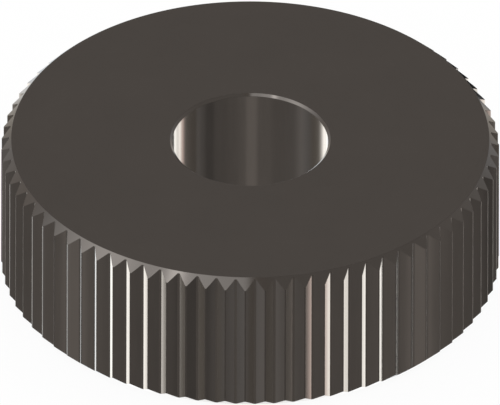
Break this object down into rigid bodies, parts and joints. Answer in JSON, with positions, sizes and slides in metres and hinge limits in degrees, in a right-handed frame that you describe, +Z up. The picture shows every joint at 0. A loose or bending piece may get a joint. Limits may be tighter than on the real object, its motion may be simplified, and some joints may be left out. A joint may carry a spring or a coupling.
{
  "type": "knurling wheel",
  "caption": "Hardened steel ring with straight V teeth across its rim, chamfered ends and a plain bore for a holder's pin; it presses straight ridges into turned work.",
  "frame": {"origin": "middle of the bore in the plane of the bottom flat face", "axes": "+Z up along the bore, from the bottom flat face to the top one; -Y points through the middle of a tooth crest"},
  "size_m": [0.0254, 0.0254, 0.0079],
  "materials": {
    "tool_steel": "dark hardened tool steel, flat faces finely ground, tooth flanks and bore smooth and bright"
  },
  "bodies": {
    "root": {"knurling_wheel": "tool_steel"}
  },
  "joints": []
}
